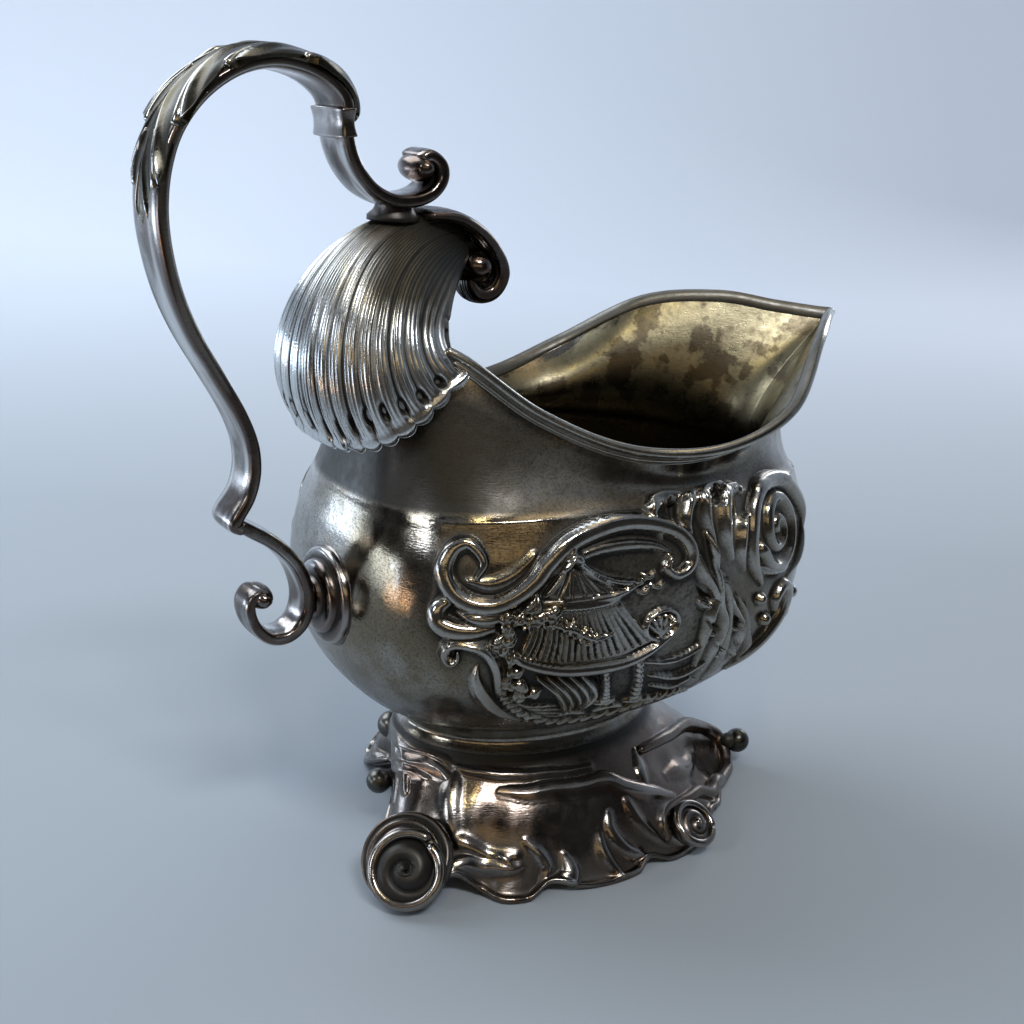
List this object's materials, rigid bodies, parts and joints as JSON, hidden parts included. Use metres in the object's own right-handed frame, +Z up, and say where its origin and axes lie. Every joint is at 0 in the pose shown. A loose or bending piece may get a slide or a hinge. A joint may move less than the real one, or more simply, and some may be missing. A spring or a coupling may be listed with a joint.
{
  "type": "cream jug",
  "caption": "Silver cream jug with boat-shaped body, shell hood, strap scroll handle and cast spreading foot, for pouring cream or milk.",
  "frame": {"origin": "on the table under the middle of the jug's length and width", "axes": "+X forward to the spout, +Y to the jug's left, +Z up"},
  "size_m": [0.1397, 0.0726, 0.13],
  "materials": {
    "worn_silver": "soft polish with fine wear and grey tarnish",
    "bright_silver": "bright on the raised lines, dark in the grooves",
    "cast_silver": "cast and chased, darkened in the recesses",
    "dark_silver": "heavily tarnished"
  },
  "bodies": {
    "root": {"body": "worn_silver", "rim_moulding": "bright_silver", "collar": "worn_silver", "foot": "cast_silver", "foot_shell_scroll": "cast_silver", "foot_front_scroll": "cast_silver", "foot_knobs": "dark_silver", "shell_hood": "bright_silver", "hood_volute": "bright_silver", "handle_strap": "worn_silver", "handle_leaf": "cast_silver", "handle_upper_scroll": "worn_silver", "handle_pad": "dark_silver", "handle_lower_scroll": "worn_silver", "boss": "worn_silver", "cartouche_right": "cast_silver", "cartouche_left": "cast_silver", "pavilion_right": "dark_silver", "pavilion_left": "dark_silver", "rosette_right": "cast_silver", "rosette_left": "cast_silver"}
  },
  "joints": []
}
